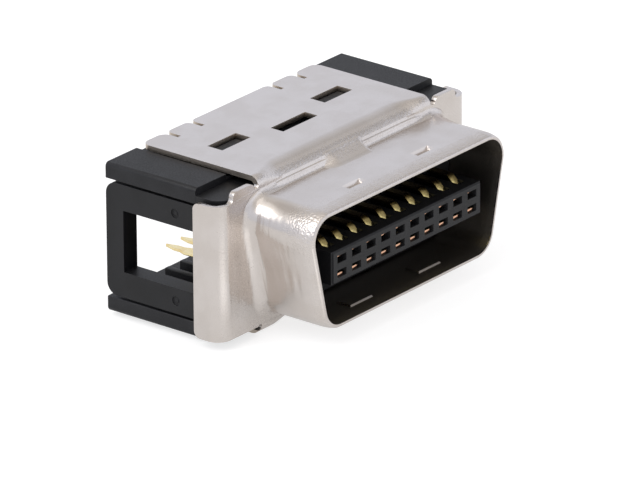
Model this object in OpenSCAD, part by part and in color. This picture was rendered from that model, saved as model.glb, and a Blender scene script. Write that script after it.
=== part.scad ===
// Mini delta ribbon plug for a cable, with two rows of contacts in a D-shaped metal nose.
// X runs along the contact rows, the nose points to -Y and Z is up.
// The origin is under the middle of the plug, where its bottom plate rests.

/* [Contacts] */
// Spacing of neighbouring contacts in a row
pitch = 1.27; // [1.2:0.01:1.4]
// Width of a contact strip
contact_w = 0.5; // [0.4:0.02:0.6]
// Thickness of a contact strip
contact_t = 0.16; // [0.12:0.01:0.2]
// Height of a contact's mating stretch over the middle plane
beam_rise = 1.2; // [1.1:0.05:1.5]
// Height of a wire tail over the middle plane
tail_rise = 1.92; // [1.8:0.02:2.2]
// Length of the slope from a contact's tip to its mating stretch
beam_slope = 0.95; // [0.8:0.05:1.4]
// Length of the slope from the mating stretch to the tail
tail_slope = 1.3; // [1:0.1:1.5]
// Width of a wire tail
tail_w = 0.74; // [0.6:0.02:0.9]
// Width of the narrow blade at the end of a wire tail
blade_w = 0.46; // [0.36:0.02:0.56]
// Length of that blade, with its point
blade_len = 1.15; // [0.9:0.05:1.4]
// Length of the point of the blade
blade_point = 0.7; // [0.4:0.05:0.8]
// Width of the blunt tip of the point
blade_tip = 0.08; // [0.06:0.01:0.12]
// Length of the shoulder from the tail to its blade
blade_shoulder = 0.35; // [0.2:0.05:0.5]
// How far the tails end before the back of the body
tail_set = 0.35; // [0.1:0.05:1]

/* [Tongue] */
// Height of the tongue
tongue_h = 1.9; // [1.8:0.05:2.1]
// From the outermost contact's middle to the side of the tongue
tongue_side = 0.83; // [0.7:0.01:1.1]
// How far the tongue's face lies behind the rim of the nose
tongue_set = 0.17; // [0.05:0.01:0.5]
// Depth of the lip that hides the contact tips
lip_d = 0.75; // [0.6:0.05:1]
// Slant along the edges of the tongue's face
face_edge = 0.1; // [0.05:0.01:0.15]
// Width of a tip opening in the tongue's face
opening_w = 0.78; // [0.7:0.02:0.9]
// Height of a tip opening
opening_h = 0.43; // [0.36:0.01:0.46]
// Height of the tip openings over the middle plane
opening_rise = 0.42; // [0.38:0.01:0.48]
// How far the contact tips lie behind the tongue's face
tip_set = 0.14; // [0.1:0.01:0.3]
// Room beside a contact in its slot
contact_fit = 0.03; // [0.02:0.01:0.06]

/* [Shell nose] */
// Thickness of the shell's sheet
sheet_t = 0.3; // [0.2:0.02:0.36]
// Length of the nose in front of the flange
nose_len = 4.42; // [4:0.02:5]
// Room over and under the tongue inside the nose
nose_room_h = 2.3; // [2:0.05:2.8]
// Room beside the tongue inside the nose, at middle height
nose_room_w = 1.25; // [1:0.05:1.6]
// Slope of the nose's sides
nose_slope = 13; // [8:1:16]
// Inside corner radius of the nose
nose_r = 1.25; // [0.8:0.05:1.6]
// Outside fillet where the nose leaves the flange
root_r = 0.42; // [0.3:0.02:0.6]
// How far the wall is drawn in at the rim
rim_drop = 0.08; // [0.04:0.01:0.1]
// Length of the drawn-in stretch behind the rim
rim_lead = 0.8; // [0.6:0.05:1]
// Flat left on the rim inside its rounded edge
rim_flat = 0.06; // [0.04:0.01:0.08]
// Distance of the grip dents from the middle of the nose
dent_x = 3; // [2.5:0.05:4]
// Distance of the grip dents from the rim
dent_y = 1.48; // [1.2:0.02:2]
// Length of a grip dent
dent_w = 1.5; // [1.2:0.05:1.8]
// Breadth of a grip dent
dent_b = 0.56; // [0.44:0.02:0.7]
// Depth of a grip dent
dent_d = 0.22; // [0.15:0.01:0.24]
// Slant of a grip dent's sides
dent_slant = 0.07; // [0.04:0.01:0.12]
// Thickness left in the sheet where a dent is pressed
dent_t = 0.22; // [0.18:0.01:0.28]
// Width of the pressed gusset in the middle of the nose root
gusset_w = 2; // [1.4:0.05:2.6]
// How far the gusset reaches over the nose in front of the flange
gusset_reach = 0.97; // [0.6:0.01:1.2]
// Thickness left in the sheet where the gusset is pressed
gusset_t = 0.26; // [0.18:0.01:0.28]

/* [Shell plates and wings] */
// Flat of the flange between the nose root and the plate bends
flange_land = 0.03; // [0.02:0.01:0.3]
// Outside radius of the bends to the top and bottom plates
plate_bend_r = 0.6; // [0.45:0.05:0.9]
// From the outermost contact's middle to a plate's edge
plate_side = 1.81; // [1.6:0.01:2]
// How far the plates end before the back of the body
plate_set = 0.2; // [0:0.05:0.6]
// Radius at the back corners of the plates
plate_r = 0.55; // [0.3:0.05:0.8]
// Distance of the inner slits from the middle of a plate
slit_in_x = 3.45; // [3:0.05:3.8]
// Distance of the outer slits from the middle of a plate
slit_out_x = 5.5; // [4.8:0.05:6]
// Width of a slit in a plate's back edge
slit_w = 0.26; // [0.2:0.02:0.4]
// Depth of a slit
slit_d = 1; // [0.8:0.05:1.4]
// Radius at the mouth of a slit
slit_r = 0.35; // [0.2:0.05:0.5]
// Distance of the side latch windows from the middle of a plate
latch_x = 4.45; // [4.2:0.05:4.7]
// Width of the side latch windows
latch_w = 2.42; // [2:0.02:2.8]
// Depth of the side latch windows
latch_d = 1.04; // [0.8:0.02:1.3]
// Distance of the side latch windows from the plate's back edge
latch_y = 3.62; // [3:0.02:4]
// Width of the middle window
middle_w = 3; // [2.4:0.02:3.6]
// Depth of the middle window
middle_d = 0.88; // [0.6:0.02:1.2]
// Distance of the middle window from the plate's back edge
middle_y = 4.58; // [4:0.02:4.9]
// Height of the side wings over the middle plane
wing_rise = 3.8; // [3.6:0.05:4]
// Reach of the side wings below the middle plane
wing_drop = 4.05; // [3.8:0.05:4.1]
// Height of the flange's ears, between the top plate and the wings
ear_rise = 4.4; // [4.2:0.05:4.5]
// Distance of the ears' outer ends from the wings' outer faces
ear_in = 1.2; // [1.2:0.05:1.4]
// Radius at the upper corners of the ears
ear_r = 0.3; // [0.15:0.05:0.4]
// Radius where an ear runs down into the wing's upper edge
ear_root_r = 0.3; // [0.15:0.01:0.3]
// Outside radius of the bends to the wings
wing_bend_r = 0.9; // [0.6:0.05:1.2]
// Length of a wing behind its bend
wing_len = 0.95; // [0.6:0.05:1.2]
// Radius at the back corners of the wings
wing_r = 0.4; // [0.2:0.05:0.6]
// Room between a wing and the end of the body
wing_room = 0.25; // [0.1:0.01:0.4]
// Radius of the relief notch beside each plate bend
relief_r = 0.2; // [0.14:0.02:0.24]
// Height of the middle of the upper relief notches over the middle plane
relief_rise = 4.22; // [4.1:0.01:4.25]

/* [Body] */
// Thickness of the wall behind the flange
wall_t = 1.8; // [1.5:0.05:2.2]
// Room between that wall and the plates
wall_room = 0.37; // [0.25:0.01:0.6]
// From the nose's widest point to the end of the body
end_margin = 1.83; // [1.6:0.01:2.2]
// Length of the body behind the flange
body_len = 8.07; // [7.6:0.01:9]
// Thickness of the end frames
frame_t = 1.15; // [0.9:0.05:1.4]
// Thickness of the back post of an end frame
post_t = 1.2; // [0.9:0.05:1.5]
// Height of the opening in an end frame
side_opening_h = 3.6; // [3:0.05:4]
// Radius at the back corners of an end frame
frame_r = 0.7; // [0.4:0.05:1]
// Length of the contact carrier behind the wall
carrier_len = 2.5; // [2:0.05:2.7]
// Wall of the carrier over and beside the contacts
carrier_wall = 0.45; // [0.3:0.05:0.8]
// Length of the block that fills the root of the nose
plug_len = 1.3; // [0.9:0.05:1.6]
// Room between that block and the nose
plug_room = 0.12; // [0.08:0.01:0.2]
// Diameter of the round mould marks on the ends
mark_dia = 0.56; // [0.4:0.02:0.7]
// Diameter of the raised middle of a mould mark
mark_in_dia = 0.24; // [0.16:0.02:0.32]
// Depth of the mould marks
mark_d = 0.09; // [0.05:0.01:0.14]
// Distance of the mould marks behind the wall
mark_y = 1.42; // [1:0.02:2]

/* [Covers] */
// Thickness of a cover at its end pads
cover_t = 0.9; // [0.7:0.02:1.1]
// Gap between a cover and the end frames
cover_gap = 0.15; // [0.1:0.01:0.25]
// How far the end pads stand past the inside of a plate
pad_proud = 0.05; // [0:0.01:0.2]
// Gap between an end pad and the edge of a plate
pad_room = 0.18; // [0.1:0.01:0.3]
// Radius along the outer edges of the end pads
pad_r = 0.25; // [0.1:0.01:0.3]
// Room between a cover's middle and a plate
cover_room = 0.22; // [0.1:0.01:0.3]
// Room round a latch boss in its window
latch_fit = 0.08; // [0.05:0.01:0.15]
// How far a latch boss stays below the plate's face
latch_drop = 0.28; // [0.05:0.01:0.3]
// Width of the wire ribs inside a cover
rib_w = 0.4; // [0.3:0.02:0.5]
// Height of the wire ribs
rib_h = 0.6; // [0.4:0.05:0.7]
// How far the wire ribs end before the back of the body
rib_set = 0.9; // [0.5:0.05:1.2]

/* [Hidden] */
$fn = 48;
positions = 10;
curve_steps = 6;
corner_steps = 10;
root_steps = 6;
rim_steps = 3;
over = 0.5;

function to_hundredth(size) = round(size * 100) / 100;

row_half = (positions - 1) * pitch / 2;
tongue_half = row_half + tongue_side;
plate_half = row_half + plate_side;

// Inside of the nose, half its height and half its width at middle height
room_half_h = tongue_h / 2 + nose_room_h;
room_half_w = tongue_half + nose_room_w;
nose_half_h = room_half_h + sheet_t;
rim_r = sheet_t - rim_drop - rim_flat;
side_reach = room_half_w * cos(nose_slope);
corner_z = room_half_h - nose_r;
upper_corner_x = to_hundredth((side_reach - nose_r + corner_z * sin(nose_slope)) / cos(nose_slope));
lower_corner_x = to_hundredth((side_reach - nose_r - corner_z * sin(nose_slope)) / cos(nose_slope));
nose_widest = upper_corner_x + nose_r + sheet_t;

body_half = nose_widest + end_margin;
wing_half = body_half + wing_room + sheet_t;
wing_span = wing_rise + wing_drop;
wing_mid = (wing_rise - wing_drop) / 2;
ear_x = wing_half - ear_in;
ear_start = plate_half + 2 * relief_r;
half_h = nose_half_h + root_r + flange_land + plate_bend_r;
plate_inside = half_h - sheet_t;
wall_half_h = plate_inside - wall_room;

// Stations behind the rim of the nose
flange_y = nose_len;
wall_y = flange_y + sheet_t;
wall_back = wall_y + wall_t;
carrier_back = wall_back + carrier_len;
back_y = wall_y + body_len;
plate_back = back_y - plate_set;
tail_end = back_y - tail_set;
tail_start = carrier_back + contact_fit;
plug_y = wall_y - plug_len;
tip_y = tongue_set + tip_set;
beam_start = tongue_set + lip_d;
beam_end = wall_back - tail_slope;

// A contact's tip stays just under the top of its opening
tip_rise = opening_rise + opening_h / 2 - contact_fit - contact_t / 2;
carrier_half_w = row_half + contact_w / 2 + carrier_wall;
carrier_half_h = tail_rise + contact_t / 2 + carrier_wall;
pad_top = plate_inside + pad_proud;
cover_low = pad_top - cover_t;
frame_half_h = cover_low - cover_gap;
pad_in = plate_half + pad_room;
cover_top = plate_inside - cover_room;
frame_in = body_half - frame_t;

function contact_x(i) = (i - 1) * pitch - row_half;

function backwards(list) = [for (k = [len(list) - 1:-1:0]) list[k]];

// Moves a piece from the rim and middle plane to the part's own frame
module set_down() translate([0, -back_y / 2, half_h]) children();

// Draws the upper half and its mirror image below the middle plane
module both_faces() {
    children();
    mirror([0, 0, 1]) children();
}

// Draws the right side and its mirror image on the left
module both_ends() {
    children();
    mirror([1, 0, 0]) children();
}

// Extrudes a sketch of depth against height along X
module along_x(length) rotate([90, 0, 90]) linear_extrude(length, center = true) children();

// Extrudes a sketch of width against height forward from a station
module forward_from(station, length)
    translate([0, station, 0]) rotate([90, 0, 0]) linear_extrude(length) children();

// Quarter of a ring that turns from -x to +y about its centre
module quarter_ring(outer, inner) intersection() {
    difference() {
        circle(outer);
        circle(inner);
    }
    translate([-outer, 0]) square(outer);
}

// Tab that runs along +y and has round corners at its far end
module round_tab(width, length, radius) {
    translate([-width / 2, 0]) square([width, length - radius]);
    translate([-width / 2 + radius, 0]) square([width - 2 * radius, length]);
    for (side = [-1, 1]) translate([side * (width / 2 - radius), length - radius]) circle(radius);
}

// Points of a rounded corner
function corner_arc(centre, radius, from, sweep) = [
    for (k = [0:corner_steps])
        let (angle = from + sweep * k / corner_steps)
        centre + radius * [cos(angle), sin(angle)]
];

// D outline of the inside of the nose, grown by a margin
function d_points(grow) = concat(
    corner_arc([upper_corner_x, corner_z], nose_r + grow, -nose_slope, 90 + nose_slope),
    corner_arc([-upper_corner_x, corner_z], nose_r + grow, 90, 90 + nose_slope),
    corner_arc([-lower_corner_x, -corner_z], nose_r + grow, 180 + nose_slope, 90 - nose_slope),
    corner_arc([lower_corner_x, -corner_z], nose_r + grow, -90, 90 - nose_slope)
);

module d_outline(grow) polygon(d_points(grow));

// Face of the bend from the nose to the flange, as margins and stations
function root_face(radius) = [
    for (k = [0:root_steps])
        let (angle = 90 * k / root_steps)
        [sheet_t + root_r - radius * cos(angle), flange_y - root_r + radius * sin(angle)]
];

// Rounded edge of the rim and the drawn-in stretch behind it, as margins and stations
function rim_face() = concat(
    [for (k = [0:rim_steps])
        let (angle = 90 * k / rim_steps)
        [rim_flat + rim_r * sin(angle), rim_r - rim_r * cos(angle)]],
    [for (k = [1:rim_steps])
        let (share = k / rim_steps)
        [sheet_t - rim_drop * pow(1 - share, 2), rim_r + (rim_lead - rim_r) * share]]
);

// Section through the nose wall, the bend at its root and the first of the flange
function nose_section() = concat(
    rim_face(),
    root_face(root_r),
    [[sheet_t + root_r + flange_land, flange_y], [sheet_t + root_r + flange_land, wall_y]],
    backwards(root_face(root_r + sheet_t)),
    [[0, 0]]
);

// Drawn nose, with its section carried round the D outline
module nose_wall() {
    section = nose_section();
    count = len(d_points(0));
    rows = len(section);
    polyhedron(
        points = [for (s = section) for (p = d_points(s[0])) [p.x, s[1], p.y]],
        faces = [
            for (i = [0:rows - 1])
                for (j = [0:count - 1])
                    let (next_row = (i + 1) % rows * count, next = (j + 1) % count)
                    [i * count + j, i * count + next, next_row + next, next_row + j]
        ]
    );
}

// Upper part of the flange beside the top plate, with a round relief notch before it
module ear() {
    difference() {
        translate([plate_half, 0]) square([ear_start - plate_half + ear_r, relief_rise]);
        translate([plate_half + relief_r, relief_rise]) circle(relief_r);
    }
    translate([(ear_start + ear_x) / 2, 0]) round_tab(ear_x - ear_start, ear_rise, ear_r);
    translate([ear_x, wing_rise]) difference() {
        translate([-ear_root_r, -ear_root_r]) square(2 * ear_root_r);
        translate([ear_root_r, ear_root_r]) circle(ear_root_r);
    }
}

// Flat ring round the nose root, out to the bends of the plates and wings
module flange() forward_from(wall_y, sheet_t) difference() {
    union() {
        side_in = plate_half - relief_r / 2;
        square([2 * plate_half, 2 * (half_h - plate_bend_r)], center = true);
        both_ends() {
            translate([side_in, -wing_drop]) square([wing_half - wing_bend_r - side_in, wing_span]);
            ear();
        }
    }
    d_outline(sheet_t + root_r + flange_land / 2);
}

// Plate with its bend, latch windows and slit back edge
module plate() {
    bend_y = flange_y + plate_bend_r;
    along_x(2 * plate_half)
        translate([bend_y, half_h - plate_bend_r]) quarter_ring(plate_bend_r, plate_bend_r - sheet_t);
    translate([0, 0, plate_inside]) linear_extrude(sheet_t) difference() {
        union() {
            translate([-plate_half, bend_y]) square([2 * plate_half, plate_back - slit_d - bend_y]);
            translate([0, plate_back - slit_d]) plate_tabs();
        }
        for (side = [-1, 1])
            translate([side * latch_x, plate_back - latch_y]) square([latch_w, latch_d], center = true);
        translate([0, plate_back - middle_y]) square([middle_w, middle_d], center = true);
    }
}

// Stretches of a plate's back edge between its slits
module plate_tabs() {
    between = slit_out_x - slit_in_x - slit_w;
    outer = plate_half - slit_out_x - slit_w / 2;
    round_tab(2 * slit_in_x - slit_w, slit_d, slit_r);
    for (side = [-1, 1]) {
        translate([side * (slit_in_x + slit_out_x) / 2, 0]) round_tab(between, slit_d, slit_r);
        translate([side * (plate_half - outer / 2), 0]) round_tab(outer, slit_d, min(plate_r, outer / 2));
    }
}

module wing() {
    bend_x = wing_half - wing_bend_r;
    bend_y = flange_y + wing_bend_r;
    translate([bend_x, bend_y, wing_mid]) linear_extrude(wing_span, center = true) {
        rotate(180) quarter_ring(wing_bend_r, wing_bend_r - sheet_t);
        translate([-sheet_t, -wing_bend_r]) square(sheet_t);
    }
    translate([wing_half - sheet_t / 2, bend_y, wing_mid]) rotate([0, 90, 0])
        linear_extrude(sheet_t, center = true) round_tab(wing_span, wing_len, wing_r);
}

// Section of a grip dent: straight down to a level, then slanting in to its bottom
module dent_sketch(breadth, top, level, bottom) polygon([
    [-breadth / 2, top],
    [-breadth / 2, level],
    [dent_slant - breadth / 2, bottom],
    [breadth / 2 - dent_slant, bottom],
    [breadth / 2, level],
    [breadth / 2, top]
]);

// Grip dent grown by a margin, its levels counted from the nose's outer face
module dent(grow, top, level) translate([dent_x, dent_y, nose_half_h]) intersection() {
    bottom = -dent_d - grow;
    along_x(dent_w + 2 * grow) dent_sketch(dent_b + 2 * grow, top, level, bottom);
    rotate([90, 0, 0]) linear_extrude(dent_b + 2 * grow, center = true)
        dent_sketch(dent_w + 2 * grow, top, level, bottom);
}

// Wedge under the line that rises from the nose to the foot of the plate's bend
module gusset_wedge(width, inset, back, low) {
    tilt = atan2(half_h - plate_bend_r - nose_half_h, gusset_reach);
    foot_y = flange_y - gusset_reach;
    foot_z = nose_half_h - inset / cos(tilt);
    front = foot_y - (foot_z - low) / tan(tilt);
    high = foot_z + (back - foot_y) * tan(tilt);
    along_x(width) polygon([[front, low], [back, high], [back, low]]);
}

// Relief beside the bend of the bottom plate
module relief_notch()
    translate([plate_half, flange_y + plate_bend_r, -wing_drop - relief_r / 2]) rotate([90, 0, 0])
        cylinder(r = relief_r, h = plate_bend_r + over);

module shell() color("#c8c5c0") set_down() difference() {
    union() {
        nose_wall();
        flange();
        both_faces() plate();
        both_ends() wing();
        both_faces() both_ends() dent(dent_t, -sheet_t / 2, -sheet_t);
        both_faces() gusset_wedge(gusset_w, 0, flange_y + sheet_t / 2, room_half_h + sheet_t / 2);
    }
    both_faces() both_ends() dent(0, over, 0);
    both_ends() relief_notch();
    both_faces()
        gusset_wedge(gusset_w - 2 * gusset_t, gusset_t, flange_y + plate_bend_r, room_half_h - sheet_t);
}

// Height of a contact's centre line at a station, sloping smoothly between its levels
function ease(share) = (1 - cos(180 * share)) / 2;
function slope_at(rise, run, share) = rise / run * PI / 2 * sin(180 * share);

// Points of a strip's two faces along a smooth slope
function slope_face(y, run, low, high, half_t) = [
    for (k = [0:curve_steps])
        let (share = k / curve_steps, tilt = atan(slope_at(high - low, run, share)))
        [y + run * share - half_t * sin(tilt), low + (high - low) * ease(share) + half_t * cos(tilt)]
];

// One face of a contact's side view, from its tip to its tail
function contact_face(half_t) = concat(
    [[tip_y, tip_rise + half_t]],
    slope_face(beam_start, beam_slope, tip_rise, beam_rise, half_t),
    slope_face(beam_end, tail_slope, beam_rise, tail_rise, half_t),
    [[tail_start, tail_rise + half_t]]
);

// Side view of a contact strip, thickened by a margin on each face
module contact_side(margin = 0) {
    half_t = contact_t / 2 + margin;
    polygon(concat(contact_face(half_t), backwards(contact_face(-half_t))));
}

// Tail with a narrow pointed blade that pierces a wire's insulation
module wire_tail() {
    blade_start = tail_end - blade_len;
    right_side = [
        [tail_w / 2, tail_start],
        [tail_w / 2, blade_start - blade_shoulder],
        [blade_w / 2, blade_start],
        [blade_w / 2, tail_end - blade_point],
        [blade_tip / 2, tail_end]
    ];
    left_side = [for (p = backwards(right_side)) [-p.x, p.y]];
    translate([0, 0, tail_rise]) linear_extrude(contact_t, center = true)
        polygon(concat(right_side, left_side));
}

module ribbon_contact() {
    along_x(contact_w) contact_side();
    wire_tail();
}

module contact_top(i) color("#dcb964") set_down() translate([contact_x(i), 0, 0]) ribbon_contact();

module contact_bottom(i) color("#dcb964") set_down()
    translate([contact_x(i), 0, 0]) mirror([0, 0, 1]) ribbon_contact();

// Opening for the tip, slot for the mating stretch and passage for the strip behind it
module contact_slot() {
    floor_z = opening_rise - opening_h / 2;
    slot_y = tongue_set + lip_d;
    translate([-opening_w / 2, tongue_set - over, floor_z]) cube([opening_w, lip_d + over, opening_h]);
    along_x(contact_w + 2 * contact_fit) {
        translate([tongue_set, floor_z + contact_fit]) square([2 * lip_d, opening_h - 2 * contact_fit]);
        translate([slot_y, floor_z]) square([plug_y - slot_y, tongue_h]);
        contact_side(contact_fit);
    }
}

module tongue() {
    translate([-tongue_half, tongue_set + face_edge, -tongue_h / 2])
        cube([2 * tongue_half, wall_y - tongue_set - face_edge, tongue_h]);
    rotate([90, 0, 90]) linear_extrude(2 * (tongue_half - face_edge), center = true) polygon([
        [tongue_set, tongue_h / 2 - face_edge],
        [tongue_set + face_edge, tongue_h / 2],
        [tongue_set + face_edge, -tongue_h / 2],
        [tongue_set, -tongue_h / 2 + face_edge]
    ]);
}

// Wall behind the flange, with front corners that clear the wing bends
module front_wall() linear_extrude(2 * wall_half_h, center = true)
    translate([0, wall_back]) rotate(180) round_tab(2 * body_half, wall_t, wing_bend_r);

module end_frame() translate([frame_in + frame_t / 2, 0, 0]) along_x(frame_t) difference() {
    translate([wall_back, 0]) rotate(-90) round_tab(2 * frame_half_h, back_y - wall_back, frame_r);
    translate([wall_back, -side_opening_h / 2]) square([back_y - post_t - wall_back, side_opening_h]);
}

module mould_marks() {
    mark_z = (frame_half_h + side_opening_h / 2) / 2;
    translate([body_half - mark_d, wall_back + mark_y, mark_z]) rotate([0, 90, 0]) difference() {
        cylinder(d = mark_dia, h = mark_d + over);
        cylinder(d = mark_in_dia, h = mark_d / 2);
    }
}

module plug_body() color("#2c2c2f") set_down() difference() {
    union() {
        front_wall();
        tongue();
        forward_from(wall_y, plug_len) d_outline(-plug_room);
        translate([-carrier_half_w, wall_back, -carrier_half_h])
            cube([2 * carrier_half_w, carrier_len, 2 * carrier_half_h]);
        both_ends() end_frame();
    }
    both_faces() {
        for (i = [1:positions]) translate([contact_x(i), 0, 0]) contact_slot();
        both_ends() mould_marks();
    }
}

// Cross section of a cover, with raised end pads beside the plate
module cover_section() {
    translate([-body_half, cover_low]) square([2 * body_half, cover_t - pad_r]);
    translate([-pad_in, cover_low]) square([2 * pad_in, cover_top - cover_low]);
    for (side = [-1, 1]) {
        translate([side * (body_half - pad_r), pad_top - pad_r]) circle(pad_r);
        translate([side * (pad_in + body_half - pad_r) / 2, pad_top - pad_r])
            square([body_half - pad_r - pad_in, 2 * pad_r], center = true);
    }
}

module wire_rib(i)
    translate([i * pitch - rib_w / 2, carrier_back, cover_low - rib_h])
        cube([rib_w, back_y - rib_set - carrier_back, rib_h + cover_t / 2]);

module latch_boss(x)
    translate([x, plate_back - latch_y, 0]) linear_extrude(half_h - latch_drop)
        square([latch_w - 2 * latch_fit, latch_d - 2 * latch_fit], center = true);

module cover() difference() {
    union() {
        forward_from(back_y, back_y - wall_back) cover_section();
        for (i = [-positions / 2:positions / 2]) wire_rib(i);
        intersection() {
            both_ends() latch_boss(latch_x);
            translate([-pad_in, 0, cover_low]) cube([2 * pad_in, back_y, half_h]);
        }
    }
    translate([-middle_w / 2, plate_back - middle_y - middle_d / 2, 0]) cube([middle_w, middle_d, half_h]);
}

module top_cover() color("#303033") set_down() cover();

module bottom_cover() color("#303033") set_down() mirror([0, 0, 1]) cover();

shell();
plug_body();
top_cover();
bottom_cover();
for (i = [1:positions])
    contact_top(i);
for (i = [1:positions])
    contact_bottom(i);
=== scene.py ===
import math
import bpy
import bmesh
from mathutils import Matrix, Vector


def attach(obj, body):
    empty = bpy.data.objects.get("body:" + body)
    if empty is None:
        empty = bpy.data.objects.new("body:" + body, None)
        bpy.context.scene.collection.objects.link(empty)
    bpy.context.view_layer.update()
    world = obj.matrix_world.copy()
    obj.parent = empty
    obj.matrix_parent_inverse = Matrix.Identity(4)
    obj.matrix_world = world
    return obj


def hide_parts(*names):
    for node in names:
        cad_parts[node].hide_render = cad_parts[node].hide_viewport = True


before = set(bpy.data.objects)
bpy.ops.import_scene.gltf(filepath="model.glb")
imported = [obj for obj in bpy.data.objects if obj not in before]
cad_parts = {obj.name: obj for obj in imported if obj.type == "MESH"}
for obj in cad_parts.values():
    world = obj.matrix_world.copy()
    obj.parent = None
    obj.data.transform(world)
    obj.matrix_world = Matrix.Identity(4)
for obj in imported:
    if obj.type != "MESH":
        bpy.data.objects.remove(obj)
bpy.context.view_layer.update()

mm = 0.001
rowCount = 10
rimToFrame = 6.395  # the rim lies this far in front of the origin
middleHeight = 4.6  # the middle plane lies this far over the floor
nearBy = 0.012  # a point this close to a curve lies on it
meshCare = {"merge": 0.002, "flatAngle": 0.5, "smoothAngle": 40, "cutReach": 1e-7}


# Small helpers for meshes
def mergedCopy(node):
    # CAD meshes are loose triangles, so the copy is merged and its flats made whole
    bm = bmesh.new()
    bm.from_mesh(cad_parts[node].data)
    bmesh.ops.remove_doubles(bm, verts=bm.verts, dist=meshCare["merge"] * mm)
    bmesh.ops.dissolve_limit(bm, angle_limit=math.radians(meshCare["flatAngle"]), verts=bm.verts,
                             edges=bm.edges)
    bm.faces.layers.float.new("edge")
    bm.faces.layers.float.new("cut")
    return bm


def sharpEdges(bm, minAngle):
    return [e for e in bm.edges if e.is_manifold and e.calc_face_angle(0) > math.radians(minAngle)]


def easeEdges(bm, form):
    # rounds the sharp edges and marks the new faces, so that materials can paint a highlight on them
    made = bmesh.ops.bevel(bm, geom=sharpEdges(bm, form["minAngle"]), offset=form["edge"] * mm,
                           offset_type="OFFSET", affect="EDGES", segments=form["segments"], profile=0.5,
                           material=-1, clamp_overlap=True)
    edge = bm.faces.layers.float["edge"]
    for face in made["faces"]:
        face[edge] = 1


def cutFaces(bm, faces, axis, at):
    # cuts faces along a plane that stands square to an axis
    parts = {}
    for face in faces:
        for part in [face, *face.edges, *face.verts]:
            parts[part] = True
    normal = Vector([i == axis for i in range(3)])
    bmesh.ops.bisect_plane(bm, geom=list(parts), dist=meshCare["cutReach"], plane_no=normal,
                           plane_co=normal * at)


def finishPiece(name, bm, material):
    mesh = bpy.data.meshes.new(name)
    bm.to_mesh(mesh)
    bm.free()
    mesh.shade_smooth()
    mesh.set_sharp_from_angle(angle=math.radians(meshCare["smoothAngle"]))
    piece = bpy.data.objects.new(name, mesh)
    bpy.context.scene.collection.objects.link(piece)
    mesh.materials.append(material)
    flats = piece.modifiers.new("flats", "WEIGHTED_NORMAL")
    flats.keep_sharp = True
    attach(piece, "root")
    return piece


def fromRim(point):
    # a point's distance behind the rim and its height over the middle plane, in mm
    return point.y / mm + rimToFrame, point.z / mm - middleHeight


# Small helpers for node trees
def addNode(tree, kind, **settings):
    node = tree.nodes.new("ShaderNode" + kind)
    for key, value in settings.items():
        setattr(node, key, value)
    return node


def newGroup(name, inputs, outputs):
    tree = bpy.data.node_groups.new(name, "ShaderNodeTree")
    for label, value in inputs:
        socket = tree.interface.new_socket(name=label, in_out="INPUT", socket_type="NodeSocketFloat")
        socket.default_value = value
    for label in outputs:
        tree.interface.new_socket(name=label, in_out="OUTPUT", socket_type="NodeSocketFloat")
    return tree, tree.nodes.new("NodeGroupInput"), tree.nodes.new("NodeGroupOutput")


def placeGroup(tree, group, **values):
    node = addNode(tree, "Group", node_tree=group)
    for label, value in values.items():
        node.inputs[label].default_value = value
    return node


def objectPlace(tree):
    return addNode(tree, "TexCoord").outputs["Object"]


def perMetre(tree, size):
    # texture scale for a feature size given in mm
    node = addNode(tree, "Math", operation="DIVIDE")
    node.inputs[0].default_value = 1 / mm
    tree.links.new(size, node.inputs[1])
    return node.outputs[0]


def addNoise(tree, vector, size, detail):
    noise = addNode(tree, "TexNoise")
    noise.inputs["Detail"].default_value = detail
    tree.links.new(vector, noise.inputs["Vector"])
    tree.links.new(perMetre(tree, size), noise.inputs["Scale"])
    return noise.outputs["Fac"]


def spread(tree, source, low, high, toLow, toHigh):
    node = addNode(tree, "MapRange", interpolation_type="SMOOTHSTEP")
    for label, value in (("From Min", low), ("From Max", high), ("To Min", toLow), ("To Max", toHigh)):
        node.inputs[label].default_value = value
    tree.links.new(source, node.inputs["Value"])
    return node.outputs["Result"]


def combine(tree, operation, first, second):
    node = addNode(tree, "Math", operation=operation)
    for socket, value in zip(node.inputs, (first, second)):
        if isinstance(value, (int, float)):
            socket.default_value = value
        else:
            tree.links.new(value, socket)
    return node.outputs[0]


def blendColor(tree, share, first, second):
    # the colour sockets are 6 and 7, and 2 going out
    node = addNode(tree, "Mix", data_type="RGBA")
    tree.links.new(share, node.inputs[0])
    for socket, value in ((node.inputs[6], first), (node.inputs[7], second)):
        if isinstance(value, tuple):
            socket.default_value = value
        else:
            tree.links.new(value, socket)
    return node.outputs[2]


def addBump(tree, height, distance, normal=None):
    node = addNode(tree, "Bump")
    node.inputs["Strength"].default_value = 1
    node.inputs["Distance"].default_value = distance * mm
    tree.links.new(height, node.inputs["Height"])
    if normal:
        tree.links.new(normal, node.inputs["Normal"])
    return node.outputs["Normal"]


def readMark(tree, name):
    return addNode(tree, "Attribute", attribute_name=name).outputs["Fac"]


def newMaterial(name):
    material = bpy.data.materials.new(name)
    material.use_nodes = True
    tree = material.node_tree
    tree.nodes.clear()
    out = addNode(tree, "OutputMaterial")
    shader = addNode(tree, "BsdfPrincipled")
    tree.links.new(shader.outputs["BSDF"], out.inputs["Surface"])
    return material, tree, shader


# Shared effects
mottleParts = (("Patch", "Broad", 4), ("Grain", "Fine", 2))  # size, output and detail of each noise
mottle, entry, leave = newGroup("surfaceMottle", (("Patch", 2), ("Grain", 0.06), ("Shift", 0)),
                                ("Broad", "Fine"))
shifted = addNode(mottle, "VectorMath", operation="ADD")
mottle.links.new(objectPlace(mottle), shifted.inputs[0])
mottle.links.new(entry.outputs["Shift"], shifted.inputs[1])
for size, label, detail in mottleParts:
    noise = addNoise(mottle, shifted.outputs[0], entry.outputs[size], detail)
    mottle.links.new(noise, leave.inputs[label])

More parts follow.
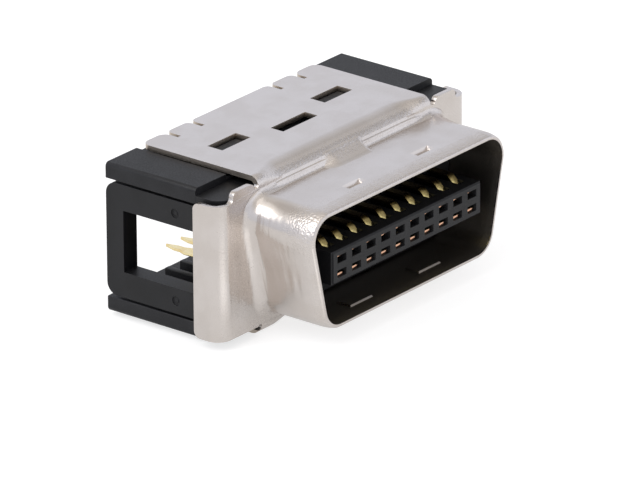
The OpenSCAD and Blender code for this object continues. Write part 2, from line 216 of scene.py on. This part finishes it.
peelLook = {"smoothness": 0.5, "detail": 3}
peel, entry, leave = newGroup("stretchedPeel", (("Cell", 0.15),), ("Height",))
place = objectPlace(peel)
cells = addNode(peel, "TexVoronoi", feature="SMOOTH_F1")
cells.inputs["Smoothness"].default_value = peelLook["smoothness"]
peel.links.new(place, cells.inputs["Vector"])
peel.links.new(perMetre(peel, entry.outputs["Cell"]), cells.inputs["Scale"])
roughness = addNoise(peel, place, entry.outputs["Cell"], peelLook["detail"])
peel.links.new(combine(peel, "ADD", cells.outputs["Distance"], roughness), leave.inputs["Height"])

swellDetail = 1
swells, entry, leave = newGroup("drawnSwell", (("Patch", 1.3), ("Upright", 0.3)), ("Height",))
stretch = addNode(swells, "CombineXYZ")
stretch.inputs["X"].default_value = 1
stretch.inputs["Y"].default_value = 1
swells.links.new(entry.outputs["Upright"], stretch.inputs["Z"])
pulled = addNode(swells, "VectorMath", operation="MULTIPLY")
swells.links.new(objectPlace(swells), pulled.inputs[0])
swells.links.new(stretch.outputs[0], pulled.inputs[1])
folds = addNoise(swells, pulled.outputs[0], entry.outputs["Patch"], swellDetail)
swells.links.new(folds, leave.inputs["Height"])

# painted highlight along the bevelled edges, broken up by noise
edgeHighlightLook = {"detail": 3, "from": 0.35, "full": 0.6, "least": 0.25}
paintedEdgeHighlight, entry, leave = newGroup("paintedEdgeHighlightGroup", (("Edge", 0), ("Break", 0.6)), ("Mask",))
breaks = addNoise(paintedEdgeHighlight, objectPlace(paintedEdgeHighlight), entry.outputs["Break"], edgeHighlightLook["detail"])
brokenHighlight = spread(paintedEdgeHighlight, breaks, edgeHighlightLook["from"], edgeHighlightLook["full"], edgeHighlightLook["least"], 1)
paintedEdgeHighlight.links.new(combine(paintedEdgeHighlight, "MULTIPLY", entry.outputs["Edge"], brokenHighlight), leave.inputs["Mask"])
print("shared effects ready")

# the middle range of each noise is stretched over a material's colours and dullness
broadRange = (0.35, 0.65)
fineRange = (0.3, 0.7)


def mottledColor(tree, spots, look):
    share = spread(tree, spots.outputs["Broad"], *broadRange, 0, 1)
    return blendColor(tree, share, look["light"], look["dark"])


def mottledDullness(tree, spots, look):
    return spread(tree, spots.outputs["Fine"], *fineRange, look["smooth"], look["dull"])


def paintEdgeHighlight(tree, color, look):
    # edges are painted lighter: a painted highlight, broken up by noise
    highlightNode = placeGroup(tree, paintedEdgeHighlight, Break=look["highlightBreak"])
    tree.links.new(readMark(tree, "edge"), highlightNode.inputs["Edge"])
    return blendColor(tree, combine(tree, "MULTIPLY", highlightNode.outputs["Mask"], look["highlightShare"]), color,
                      look["paintedEdgeHighlight"])


# Nickel plate on drawn steel
nickelLook = {"light": (0.72, 0.67, 0.635, 1), "dark": (0.68, 0.627, 0.587, 1), "patch": 1.6,
              "paintedEdgeHighlight": (0.79, 0.745, 0.7, 1), "highlightBreak": 0.7, "highlightShare": 0.6,
              "cut": (0.6, 0.52, 0.43, 1), "cutShare": 0.8, "inside": (0.3, 0.27, 0.235, 1),
              "smooth": 0.17, "dull": 0.26, "drawnDull": 0.13, "cutDull": 0.15,
              "grain": 0.05, "grainDepth": 0.0006, "cell": 0.14, "peelDepth": 0.03,
              "swell": 1.1, "upright": 0.28, "swellDepth": 0.01,
              "streak": 0.36, "streakUpright": 0.1, "streakDepth": 0.022,
              "streakFrom": 7.8, "streakFull": 8.8}
nickel, tree, shader = newMaterial("nickelPlate")
spots = placeGroup(tree, mottle, Patch=nickelLook["patch"], Grain=nickelLook["grain"])
drawn = readMark(tree, "drawn")
cut = readMark(tree, "cut")
inside = readMark(tree, "inside")
# the bevelled edges of the nickel get a painted highlight
color = paintEdgeHighlight(tree, mottledColor(tree, spots, nickelLook), nickelLook)
color = blendColor(tree, combine(tree, "MULTIPLY", cut, nickelLook["cutShare"]), color, nickelLook["cut"])
# the nose's inner walls are painted dark as shade
color = blendColor(tree, inside, color, nickelLook["inside"])
tree.links.new(color, shader.inputs["Base Color"])
shader.inputs["Metallic"].default_value = 1
dull = combine(tree, "ADD", mottledDullness(tree, spots, nickelLook),
               combine(tree, "MULTIPLY", drawn, nickelLook["drawnDull"]))
shearedAndPaintedShade = combine(tree, "MAXIMUM", cut, inside)
dull = combine(tree, "ADD", dull, combine(tree, "MULTIPLY", shearedAndPaintedShade, nickelLook["cutDull"]))
tree.links.new(dull, shader.inputs["Roughness"])
# soft swells all over, upright streaks on the nose's sides and the wings, crackle where the sheet was drawn
swell = placeGroup(tree, swells, Patch=nickelLook["swell"], Upright=nickelLook["upright"])
streaks = placeGroup(tree, swells, Patch=nickelLook["streak"], Upright=nickelLook["streakUpright"])
crackle = placeGroup(tree, peel, Cell=nickelLook["cell"])
split = addNode(tree, "SeparateXYZ")
tree.links.new(objectPlace(tree), split.inputs[0])
fromMiddle = combine(tree, "ABSOLUTE", split.outputs["X"], 0)
atEnds = spread(tree, fromMiddle, nickelLook["streakFrom"] * mm, nickelLook["streakFull"] * mm, 0, 1)
bump = addBump(tree, swell.outputs["Height"], nickelLook["swellDepth"])
bump = addBump(tree, combine(tree, "MULTIPLY", streaks.outputs["Height"], atEnds),
               nickelLook["streakDepth"], bump)
bump = addBump(tree, spots.outputs["Fine"], nickelLook["grainDepth"], bump)
bump = addBump(tree, combine(tree, "MULTIPLY", crackle.outputs["Height"], drawn),
               nickelLook["peelDepth"], bump)
tree.links.new(bump, shader.inputs["Normal"])


# Black moulded plastic, finer on the body than on the covers
def mouldedPlastic(name, look):
    material, tree, shader = newMaterial(name)
    spots = placeGroup(tree, mottle, Patch=look["patch"], Grain=look["grain"], Shift=look["shift"])
    # the bevelled edges of the plastic get a painted highlight
    color = paintEdgeHighlight(tree, mottledColor(tree, spots, look), look)
    tree.links.new(color, shader.inputs["Base Color"])
    shader.inputs["IOR"].default_value = look["ior"]
    tree.links.new(mottledDullness(tree, spots, look), shader.inputs["Roughness"])
    bump = addBump(tree, spots.outputs["Broad"], look["waves"])
    tree.links.new(addBump(tree, spots.outputs["Fine"], look["grainDepth"], bump), shader.inputs["Normal"])
    return material


bodyLook = {"light": (0.0085, 0.0085, 0.0098, 1), "dark": (0.0055, 0.0055, 0.0063, 1),
            "paintedEdgeHighlight": (0.025, 0.025, 0.027, 1), "highlightBreak": 0.9, "highlightShare": 0.5, "patch": 1.5, "shift": 0.21,
            "smooth": 0.4, "dull": 0.55, "ior": 1.43, "waves": 0.004, "grain": 0.05, "grainDepth": 0.0012}
coverLook = {"light": (0.0125, 0.0125, 0.0145, 1), "dark": (0.0085, 0.0085, 0.01, 1),
             "paintedEdgeHighlight": (0.028, 0.028, 0.03, 1), "highlightBreak": 0.9, "highlightShare": 0.5, "patch": 1.2, "shift": 0.63,
             "smooth": 0.42, "dull": 0.6, "ior": 1.42, "waves": 0.004, "grain": 0.07, "grainDepth": 0.002}
bodyPlastic = mouldedPlastic("bodyMoulding", bodyLook)
coverPlastic = mouldedPlastic("coverMoulding", coverLook)

# Thin gold over copper alloy, heavier on the mating ends, bare where the strip was sheared, and painted dark
# as shade on the beams inside the nose
goldLook = {"light": (1.0, 0.85, 0.48, 1), "dark": (0.93, 0.73, 0.36, 1), "bare": (0.86, 0.5, 0.33, 1),
            "heavy": (1.0, 0.86, 0.4, 1), "beamShadeColor": (0.2, 0.12, 0.05, 1), "patch": 0.5, "shift": 0.11,
            "smooth": 0.1, "dull": 0.2, "grain": 0.04, "grainDepth": 0.0008}
gold, tree, shader = newMaterial("goldPlate")
spots = placeGroup(tree, mottle, Patch=goldLook["patch"], Grain=goldLook["grain"], Shift=goldLook["shift"])
color = mottledColor(tree, spots, goldLook)
# the beams behind the tips are painted dark as shade
for mark, finish in (("tip", "heavy"), ("paintedBeamShade", "beamShadeColor"), ("cut", "bare")):
    color = blendColor(tree, readMark(tree, mark), color, goldLook[finish])
tree.links.new(color, shader.inputs["Base Color"])
shader.inputs["Metallic"].default_value = 1
tree.links.new(mottledDullness(tree, spots, goldLook), shader.inputs["Roughness"])
tree.links.new(addBump(tree, spots.outputs["Fine"], goldLook["grainDepth"]), shader.inputs["Normal"])
print("materials ready")

# Shell, in mm behind its rim and over its middle plane; rows and steps say where its faces are cut to bend
shellForm = {"edge": 0.06, "segments": 3, "minAngle": 35, "rootY": 4.0, "flangeY": 4.42, "rootR": 0.42,
             "sideRootR": 0.62, "pastBend": 0.05, "sideFrom": 6.0, "slope": 13, "noseTop": 3.55,
             "cornerX": 6.97, "lowCornerX": 6.05, "cornerZ": 2.0, "cornerR": 1.55, "bendR": 0.6,
             "bendLow": 4.0, "plateTop": 4.6, "rimRow": 0.1, "stepY": 0.16, "stepZ": 0.2, "rowsZ": 9,
             "flatRows": (0.5, 0.85, 2.3, 3.3), "leastTurn": 0.1, "sideTurn": 0.9, "flatTurn": 0.97}
# the turn round a corner at which the wider root bend ends, and over how many degrees it fades
rootFade = {"upper": (95, 50), "lower": (60, 45)}
# the fold from the nose up to each plate: radii and turns, its start, and where it dies out by the corners
foldForm = {"footR": 0.25, "footTurn": 54, "noseTurn": 80, "plateR": 1.5, "plateTurn": 51, "front": 4.14,
            "fadeIn": 1.8, "fade": 2.0, "stepX": 0.3, "cuts": 7, "ahead": 0.1, "low": 3.3, "merge": 0.003,
            "creaseReach": 0.02}
# half width, how it fades on either side, where its foot was pressed and ends up, and the skin over it
gussetForm = {"half": 1.13, "fadeLeft": 1.3, "fadeRight": 0.5, "pressedFoot": 3.45, "footReach": 0.02,
              "foot": 3.7, "front": 3.4, "span": 1.75, "endFade": 0.3, "leastLean": 0.3, "lift": 0.02,
              "round": 0.06, "stepX": 0.06, "stepT": 0.05}
cornerFlare = {"rise": 0.16, "middle": 4.15, "length": 0.85, "turn": 52, "spread": 36, "from": 1.5,
               "low": 0.5, "inwards": 0.15, "flangeGap": 0.004}
# middle behind the rim, middle height, breadth, height and depth of each hollow
sideHollows = ((3.5, -0.6, 0.45, 1.3, 0.13), (2.05, -0.5, 0.13, 0.75, 0.02), (1.45, -0.75, 0.12, 0.8, 0.017),
               (2.6, 1.3, 0.6, 0.4, 0.02))
hollowFrom = 0.3
hollowTop = 2.3
# the dents' place, and for each face of the sheet its height and how far they have sprung back
dentForm = {"front": 0.9, "back": 2.1, "half": 4.2, "least": 0.01, "depth": 0.17,
            "skins": ((3.55, 0.3), (3.25, 0.35))}
# zones that drawing has roughened: strength, middle behind the rim, length
drawnZones = {"rim": (0.3, 0.3, 0.5), "root": (0.45, 4.45, 0.5), "rootEnd": (0.15, 4.45, 0.5),
              "corner": (1, 0.8, 0.9)}
drawnEnds = {"endFrom": 7.6, "cornerIn": 1.5, "cornerLow": 0.6, "turn": 45, "spread": 48}
markForm = {"insideFrom": 0.15, "insideTo": 4.4, "insideHalf": 3.3, "inwards": -0.5, "edgeTurn": 0.3,
            "behind": 5, "plateFrom": 4.25, "wingFrom": 10.55}

slope = math.radians(shellForm["slope"])
sideOut = Vector((math.cos(slope), -math.sin(slope)))
footTurn, noseTurn, plateTurn = (math.radians(foldForm[k]) for k in ("footTurn", "noseTurn", "plateTurn"))
footRise = foldForm["footR"] * (1 - math.cos(footTurn))
plateDrop = foldForm["plateR"] * (1 - math.cos(plateTurn))
rollRise = shellForm["plateTop"] - shellForm["noseTop"] - footRise - plateDrop
noseR = rollRise / (math.cos(footTurn) - math.cos(noseTurn))


def bell(offset, width):
    return math.exp(-(offset / width) ** 2)


def smooth(share):
    share = min(max(share, 0), 1)
    return share * share * (3 - 2 * share)


def awayFromSide(x, z):
    # distance outwards from the nose's side or corners, its direction, and how squarely it faces the end
    point = Vector((x, z))
    upper = Vector((shellForm["cornerX"], shellForm["cornerZ"]))
    lower = Vector((shellForm["lowCornerX"], -shellForm["cornerZ"]))
    along = (lower - upper).normalized()
    reach = (point - upper).dot(along)
    if 0 <= reach <= (lower - upper).length:
        return (point - upper).dot(sideOut) - shellForm["cornerR"], sideOut, 1
    arm = point - (upper if reach < 0 else lower)
    turned = math.degrees(sideOut.angle(arm)) if arm.length else 90
    end, span = rootFade["upper" if reach < 0 else "lower"]
    return arm.length - shellForm["cornerR"], arm.normalized(), min(max(0, (end - turned) / span), 1)


def widenRoot(bm):
    # the bend from the sides to the flange is wider than the one along the top and bottom
    small = shellForm["rootR"]
    moved = 0
    for v in bm.verts:
        y, z = fromRim(v.co)
        x = abs(v.co.x) / mm
        if x < shellForm["sideFrom"] or not shellForm["rootY"] - nearBy < y < shellForm["flangeY"] + nearBy:
            continue
        off, out, square = awayFromSide(x, z)
        onBend = abs(math.hypot(small - off, y - shellForm["rootY"]) - small) < nearBy and off > -nearBy
        if not onBend or off > small + shellForm["pastBend"] or square == 0:
            continue
        wide = small + (shellForm["sideRootR"] - small) * smooth(square)
        angle = math.atan2(y - shellForm["rootY"], small - off)
        newOff = wide * (1 - math.cos(angle))
        newY = shellForm["flangeY"] - wide + wide * math.sin(angle)
        side = math.copysign(1, v.co.x)
        v.co += Vector((side * out.x * (newOff - off), newY - y, out.y * (newOff - off))) * mm
        moved += 1
    print("root bend points widened", moved)


def noseArc(turn):
    # a tight foot on the nose, then a wider roll up to the crease
    foot, roll = min(turn, footTurn), max(turn, footTurn)
    depth = foldForm["footR"] * math.sin(foot) + noseR * (math.sin(roll) - math.sin(footTurn))
    height = foldForm["footR"] * (1 - math.cos(foot)) + noseR * (math.cos(footTurn) - math.cos(roll))
    return Vector((foldForm["front"] + depth, shellForm["noseTop"] + height))


def plateArc(turn):
    crease = noseArc(noseTurn)
    return Vector((crease.x + foldForm["plateR"] * (math.sin(plateTurn) - math.sin(turn)),
                   crease.y + foldForm["plateR"] * (math.cos(turn) - math.cos(plateTurn))))


def foldFaces(bm):
    faces = []
    for face in bm.faces:
        y, z = fromRim(face.calc_center_median())
        inFold = shellForm["rootY"] - foldForm["ahead"] < y < shellForm["flangeY"] + shellForm["bendR"]
        if inFold and abs(z) > foldForm["low"]:
            faces.append(face)
    return faces


def softenFold(bm):
    # the sheet doesn't fold sharply between the nose and its plates, it rolls over in one easy curve
    for corner in (shellForm["cornerX"], shellForm["lowCornerX"]):
        for i in range(foldForm["cuts"]):
            x = corner - foldForm["fadeIn"] + i * foldForm["stepX"]
            for side in (1, -1):
                cutFaces(bm, foldFaces(bm), 0, side * x * mm)
    bendEnd = shellForm["flangeY"] + shellForm["bendR"]
    moved = 0
    for v in bm.verts:
        y, z = fromRim(v.co)
        high = abs(z)
        corner = shellForm["cornerX"] if z > 0 else shellForm["lowCornerX"]
        share = 1 - smooth((abs(v.co.x) / mm - corner + foldForm["fadeIn"]) / foldForm["fade"])
        if share == 0 or not shellForm["rootY"] - nearBy < y < bendEnd + nearBy:
            continue
        toRoot = Vector((y - shellForm["rootY"], shellForm["noseTop"] + shellForm["rootR"] - high))
        toBend = Vector((bendEnd - y, high - shellForm["bendLow"]))
        if abs(toRoot.length - shellForm["rootR"]) < nearBy and toRoot.y > -nearBy:
            goal = noseArc(math.atan2(toRoot.x, toRoot.y) / (math.pi / 2) * noseTurn)
        elif abs(toBend.length - shellForm["bendR"]) < nearBy and toBend.y > -nearBy:
            goal = plateArc(math.atan2(toBend.x, toBend.y) / (math.pi / 2) * plateTurn)
        else:
            continue
        v.co += Vector((0, goal.x - y, math.copysign(goal.y - high, z))) * share * mm
        moved += 1
    print("fold points eased", moved)


def drawBackFoot(bm):
    # the gusset's foot springs back towards the fold
    for v in bm.verts:
        y, z = fromRim(v.co)
        onFoot = abs(y - gussetForm["pressedFoot"]) < gussetForm["footReach"]
        if onFoot and abs(v.co.x) < gussetForm["half"] * mm and abs(abs(z) - shellForm["noseTop"]) < nearBy:
            v.co.y += (gussetForm["foot"] - gussetForm["pressedFoot"]) * mm


def rootCurve(t):
    # a point of the fold from the nose's top to its plate and the normal there, as depth and height
    t -= foldForm["front"] - gussetForm["front"]
    if t < 0:
        return Vector((foldForm["front"] + t, shellForm["noseTop"])), Vector((0, 1))
    foot = foldForm["footR"] * footTurn
    roll = foot + noseR * (noseTurn - footTurn)
    if t < roll:
        turn = t / foldForm["footR"] if t < foot else footTurn + (t - foot) / noseR
        return noseArc(turn), Vector((-math.sin(turn), math.cos(turn)))
    turn = plateTurn - (t - roll) / foldForm["plateR"]
    return plateArc(turn), Vector((-math.sin(turn), math.cos(turn)))


def addGusset(bm, side):
    # soft skin over the pressed gusset, at the top for side 1 and below for -1, fading into the fold
    foot = Vector((gussetForm["foot"], shellForm["noseTop"]))
    rise = noseArc(noseTurn) - foot
    lean = Vector((-rise.y, rise.x)).normalized()
    rows = int(gussetForm["span"] / gussetForm["stepT"])
    left = int((gussetForm["half"] + gussetForm["fadeLeft"]) / gussetForm["stepX"]) + 1
    right = int((gussetForm["half"] + gussetForm["fadeRight"]) / gussetForm["stepX"]) + 1
    skin = bmesh.ops.create_grid(bm, x_segments=left + right, y_segments=rows, size=1)["verts"]
    for v in skin:
        # the grid runs from -1 to 1 both ways, below from back to front, so that its faces look outwards
        x = (round((v.co.x + 1) / 2 * (left + right)) - left) * gussetForm["stepX"]
        t = round((side * v.co.y + 1) / 2 * rows) * gussetForm["span"] / rows
        base, normal = rootCurve(t)
        gap = -(base - foot).dot(lean) / max(normal.dot(lean), gussetForm["leastLean"])
        gap = (gap + math.hypot(gap, gussetForm["round"])) / 2
        fade = gussetForm["fadeLeft"] if x < 0 else gussetForm["fadeRight"]
        share = smooth((gussetForm["half"] + fade - abs(x)) / fade)
        share *= smooth(t / gussetForm["endFade"]) * smooth((gussetForm["span"] - t) / gussetForm["endFade"])
        place = base + normal * (gap * share + gussetForm["lift"] * (2 * share - 1))
        v.co = Vector((x, place.x - rimToFrame, side * place.y + middleHeight)) * mm


def noseSides(bm, leastTurn):
    # faces of the nose that turn towards its ends by at least this much
    faces = []
    for face in bm.faces:
        middle = face.calc_center_median()
        onSide = abs(middle.x) > shellForm["sideFrom"] * mm and abs(face.normal.x) > leastTurn
        if onSide and fromRim(middle)[0] < shellForm["rootY"]:
            faces.append(face)
    return faces


def noseFlats(bm):
    return [face for face in bm.faces if abs(face.normal.z) > shellForm["flatTurn"]
            and fromRim(face.calc_center_median())[0] < shellForm["rootY"]]


def pressSides(v):
    # shallow hollows that drawing left in the sides, and upper corners that flare out before the flange
    y, z = fromRim(v.co)
    x = abs(v.co.x) / mm
    if x <= shellForm["sideFrom"]:
        return
    if hollowFrom < y < shellForm["rootY"] and abs(z) < hollowTop:
        depth = sum(d * bell(y - cy, w) * bell(z - cz, h) for cy, cz, w, h, d in sideHollows)
        v.co -= Vector((math.copysign(sideOut.x, v.co.x), 0, sideOut.y)) * depth * mm
    if cornerFlare["from"] < y < shellForm["flangeY"] - cornerFlare["flangeGap"] and z > cornerFlare["low"]:
        off, out = awayFromSide(x, z)[:2]
        if -cornerFlare["inwards"] < off < shellForm["sideRootR"] + shellForm["pastBend"]:
            turned = math.degrees(math.atan2(out.y, out.x))
            flare = cornerFlare["rise"] * bell(y - cornerFlare["middle"], cornerFlare["length"])
            flare *= bell(turned - cornerFlare["turn"], cornerFlare["spread"])
            v.co += Vector((math.copysign(out.x, v.co.x), 0, out.y)) * flare * mm


def springDent(v):
    # the dents have sprung back a little, more so on the inside
    y, z = fromRim(v.co)
    if dentForm["front"] < y < dentForm["back"] and abs(v.co.x) < dentForm["half"] * mm:
        for skin, share in dentForm["skins"]:
            sunk = skin - abs(z)
            if dentForm["least"] < sunk < dentForm["depth"]:
                v.co.z += math.copysign(sunk * share, z) * mm


def drawnZone(name, y):
    strength, middle, length = drawnZones[name]
    return strength * bell(y - middle, length)


def drawnReach(point):
    # where drawing has roughened the sheet: the rim, the root bend and the upper corners behind the rim
    y, z = fromRim(point)
    x = abs(point.x) / mm
    reach = drawnZone("rim", y) + drawnZone("root" if x < drawnEnds["endFrom"] else "rootEnd", y)
    acrossCorner, overCorner = x - shellForm["cornerX"], z - shellForm["cornerZ"]
    if overCorner > -drawnEnds["cornerLow"] and acrossCorner > -drawnEnds["cornerIn"]:
        turn = math.degrees(math.atan2(overCorner, acrossCorner))
        reach += drawnZone("corner", y) * bell(turn - drawnEnds["turn"], drawnEnds["spread"])
    return min(reach, 1)


def markShellFace(face, cutMark, paintedShadeMark):
    # the nose's inner walls, painted dark as shade, and the sheared edges of the plates and wings
    middle = face.calc_center_median()
    y, z = fromRim(middle)
    x = middle.x / mm
    inNose = markForm["insideFrom"] < y < markForm["insideTo"] and abs(z) < markForm["insideHalf"]
    face[paintedShadeMark] = inNose and face.normal.dot(Vector((x, 0, z))) < markForm["inwards"]
    plateEdge = abs(z) > markForm["plateFrom"] and abs(face.normal.z) < markForm["edgeTurn"]
    wingEdge = abs(x) > markForm["wingFrom"] and abs(face.normal.x) < markForm["edgeTurn"]
    face[cutMark] = y > markForm["behind"] and (plateEdge or wingEdge)


bm = mergedCopy("shell")
rowCuts = int((shellForm["flangeY"] - shellForm["sideRootR"]) / shellForm["stepY"])
for y in [shellForm["rimRow"]] + [i * shellForm["stepY"] for i in range(2, rowCuts + 1)]:
    cutFaces(bm, noseSides(bm, shellForm["leastTurn"]), 1, (y - rimToFrame) * mm)
for i in range(-shellForm["rowsZ"], shellForm["rowsZ"] + 1):
    cutFaces(bm, noseSides(bm, shellForm["sideTurn"]), 2, (i * shellForm["stepZ"] + middleHeight) * mm)
for y in shellForm["flatRows"]:
    # rows across the flats keep the roughened zones short
    cutFaces(bm, noseFlats(bm), 1, (y - rimToFrame) * mm)
widenRoot(bm)
softenFold(bm)
drawBackFoot(bm)
bmesh.ops.remove_doubles(bm, verts=bm.verts, dist=foldForm["merge"] * mm)
for v in bm.verts:
    pressSides(v)
easeEdges(bm, shellForm)
for v in bm.verts:
    springDent(v)
drawnMark = bm.verts.layers.float.new("drawn")
paintedShadeMark = bm.faces.layers.float.new("inside")
cutMark = bm.faces.layers.float["cut"]
for side in (1, -1):
    addGusset(bm, side)
for v in bm.verts:
    v[drawnMark] = drawnReach(v.co)
for face in bm.faces:
    markShellFace(face, cutMark, paintedShadeMark)
shell = finishPiece("platedShell", bm, nickel)
crease = noseArc(noseTurn)
for line in shell.data.edges:
    # the two rolls of the fold meet in a crisp line
    ends = [fromRim(shell.data.vertices[i].co) for i in line.vertices]
    if max((Vector((y, abs(z))) - crease).length for y, z in ends) < foldForm["creaseReach"]:
        line.use_edge_sharp = True
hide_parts("shell")
print("shell", len(shell.data.polygons))

# Body and covers
bodyForm = {"edge": 0.05, "segments": 2, "minAngle": 35}
for node, name, slotName, material in (("plug_body", "mouldedBody", "body_black", bodyPlastic),
                                       ("top_cover", "upperCover", "cover_black", coverPlastic),
                                       ("bottom_cover", "lowerCover", "cover_black", coverPlastic)):
    bm = mergedCopy(node)
    easeEdges(bm, bodyForm)
    piece = finishPiece(name, bm, material)
    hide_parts(node)
    print(name, len(piece.data.polygons))

# Contacts: upper tips lie deeper, each by its own amount; ends are sheared, beams painted dark as shade
# between tip and tail
contactForm = {"edge": 0.018, "segments": 2, "minAngle": 35, "tipTo": 0.42, "deeper": 0.05, "uneven": 0.045,
               "wander": 2.4, "cutTo": 0.6, "cutTurn": -0.6, "beamShadeFrom": 1.42, "beamShadeFade": 0.4,
               "matingTo": 4.6}
for row in ("top", "bottom"):
    for i in range(1, rowCount + 1):
        node = f"contact_{row}_{i}"
        bm = mergedCopy(node)
        easeEdges(bm, contactForm)
        if row == "top":
            deeper = contactForm["deeper"] + contactForm["uneven"] * abs(math.sin(contactForm["wander"] * i))
            for v in bm.verts:
                if fromRim(v.co)[0] < contactForm["tipTo"]:
                    v.co.y += deeper * mm
        tipMark = bm.verts.layers.float.new("tip")
        beamShadeMark = bm.verts.layers.float.new("paintedBeamShade")
        for v in bm.verts:
            y = fromRim(v.co)[0]
            mating = y < contactForm["matingTo"]
            v[tipMark] = mating
            # painted shade on the beam behind the tip, inside the nose
            v[beamShadeMark] = mating * smooth((y - contactForm["beamShadeFrom"]) / contactForm["beamShadeFade"])
        cutMark = bm.faces.layers.float["cut"]
        for face in bm.faces:
            y = fromRim(face.calc_center_median())[0]
            face[cutMark] = y < contactForm["cutTo"] and face.normal.y < contactForm["cutTurn"]
        piece = finishPiece(f"ribbon_{row}_{i}", bm, gold)
        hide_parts(node)
print("contacts ready")

# Floor
floorLook = {"size": 2.0, "drop": 0.01, "color": (0.45, 0.45, 0.45, 1), "roughness": 0.7, "glow": 0.7,
             "mirrored": 0.4, "patchAt": (-12.5, -12, 0), "patchFrom": 2, "patchTo": 7, "patchGlow": 0.76}
floorMaterial, tree, shader = newMaterial("paleFloor")
shader.inputs["Base Color"].default_value = floorLook["color"]
shader.inputs["Roughness"].default_value = floorLook["roughness"]
shader.inputs["Specular IOR Level"].default_value = 0
shader.inputs["Emission Color"].default_value = (1, 1, 1, 1)
# the sweep is brighter to the camera than in the metal, apart from a patch at the front left
away = addNode(tree, "VectorMath", operation="DISTANCE")
tree.links.new(objectPlace(tree), away.inputs[0])
away.inputs[1].default_value = Vector(floorLook["patchAt"]) * mm
mirrored = spread(tree, away.outputs["Value"], floorLook["patchFrom"] * mm, floorLook["patchTo"] * mm,
                  floorLook["patchGlow"], floorLook["mirrored"])
seen = addNode(tree, "Mix", data_type="FLOAT")
tree.links.new(addNode(tree, "LightPath").outputs["Is Camera Ray"], seen.inputs[0])
tree.links.new(mirrored, seen.inputs[2])
seen.inputs[3].default_value = floorLook["glow"]
tree.links.new(seen.outputs[0], shader.inputs["Emission Strength"])
bm = bmesh.new()
bmesh.ops.create_grid(bm, x_segments=1, y_segments=1, size=floorLook["size"] / 2)
bmesh.ops.translate(bm, verts=bm.verts, vec=(0, 0, -floorLook["drop"] * mm))
floorMesh = bpy.data.meshes.new("floor")
bm.to_mesh(floorMesh)
bm.free()
floorMesh.materials.append(floorMaterial)
floor = bpy.data.objects.new("floor", floorMesh)
bpy.context.scene.collection.objects.link(floor)

# Light: a pale sky that warms upwards, with brighter and darker patches
skyStops = ((0.0, (0.75, 0.777, 0.853, 1)), (0.42, (0.816, 0.849, 0.943, 1)),
            (0.7, (0.733, 0.722, 0.718, 1)), (1.0, (0.715, 0.677, 0.638, 1)))
# direction of each patch, the cosines between which it fades in, and its strength
skyPatches = (((-0.625, 0.2, 0.752), 0.905, 0.985, 2.8), ((0.66, -0.62, 0.42), 0.7, 0.97, 0.2),
              ((0.72, -0.38, 0.58), 0.945, 0.985, -0.4), ((0.72, -0.05, 0.7), 0.93, 0.99, -0.14),
              ((0.72, 0.33, 0.61), 0.945, 0.995, -0.1), ((0.05, 0.6, 0.78), 0.9, 0.985, -0.14))
skyStrength = 1.0
world = bpy.data.worlds.new("studio")
bpy.context.scene.world = world
world.use_nodes = True
tree = world.node_tree
tree.nodes.clear()
out = addNode(tree, "OutputWorld")
background = addNode(tree, "Background")
background.inputs["Strength"].default_value = skyStrength
place = addNode(tree, "TexCoord")
split = addNode(tree, "SeparateXYZ")
ramp = addNode(tree, "ValToRGB")
for i, (position, color) in enumerate(skyStops):
    stop = ramp.color_ramp.elements[i] if i < 2 else ramp.color_ramp.elements.new(position)
    stop.position = position
    stop.color = color
tree.links.new(place.outputs["Generated"], split.inputs[0])
tree.links.new(split.outputs["Z"], ramp.inputs["Fac"])
sky = ramp.outputs["Color"]
for aim, fadeFrom, full, strength in skyPatches:
    toPatch = addNode(tree, "VectorMath", operation="DOT_PRODUCT")
    toPatch.inputs[1].default_value = Vector(aim).normalized()
    tree.links.new(place.outputs["Generated"], toPatch.inputs[0])
    lit = addNode(tree, "VectorMath", operation="ADD")
    tree.links.new(sky, lit.inputs[0])
    tree.links.new(spread(tree, toPatch.outputs["Value"], fadeFrom, full, 0, strength), lit.inputs[1])
    sky = lit.outputs[0]
tree.links.new(sky, background.inputs["Color"])
tree.links.new(background.outputs["Background"], out.inputs["Surface"])

# one soft box overhead
overheadLook = {"place": (-0.1, 0.05, 0.6), "aim": (0, 0, 0), "size": (0.5, 0.5), "power": 0.35}
lamp = bpy.data.lights.new("overheadBox", "AREA")
lamp.shape = "RECTANGLE"
lamp.size, lamp.size_y = overheadLook["size"]
lamp.energy = overheadLook["power"]
overhead = bpy.data.objects.new("overheadBox", lamp)
overhead.location = overheadLook["place"]
throw = Vector(overheadLook["aim"]) - Vector(overheadLook["place"])
overhead.rotation_euler = throw.to_track_quat("-Z", "Y").to_euler()
bpy.context.scene.collection.objects.link(overhead)
bpy.context.scene.view_settings.view_transform = "Standard"
print("light ready")

# Camera, from the photo's own viewpoint
cameraView = {"azimuth": -51.303, "elevation": 22.401, "roll": -0.392, "distance": 487.5,
              "target": (-3.288, -2.77, 4.40), "lens": 506.25, "sensor": 36, "clip": 0.01}
turn, rise, roll = (math.radians(cameraView[k]) for k in ("azimuth", "elevation", "roll"))
back = Vector((math.sin(turn) * math.cos(rise), -math.cos(turn) * math.cos(rise), math.sin(rise)))
right = Vector((math.cos(turn), math.sin(turn), 0))
up = back.cross(right)
imageRight = right * math.cos(roll) + up * math.sin(roll)
imageUp = up * math.cos(roll) - right * math.sin(roll)
cameraData = bpy.data.cameras.new("camera")
cameraData.lens = cameraView["lens"]
cameraData.sensor_width = cameraView["sensor"]
cameraData.sensor_fit = "HORIZONTAL"
cameraData.clip_start = cameraView["clip"]
camera = bpy.data.objects.new("camera", cameraData)
place = Vector(cameraView["target"]) * mm + back * cameraView["distance"] * mm
camera.matrix_world = Matrix.Translation(place) @ Matrix((imageRight, imageUp, back)).transposed().to_4x4()
bpy.context.scene.collection.objects.link(camera)
bpy.context.scene.camera = camera
print("camera ready")
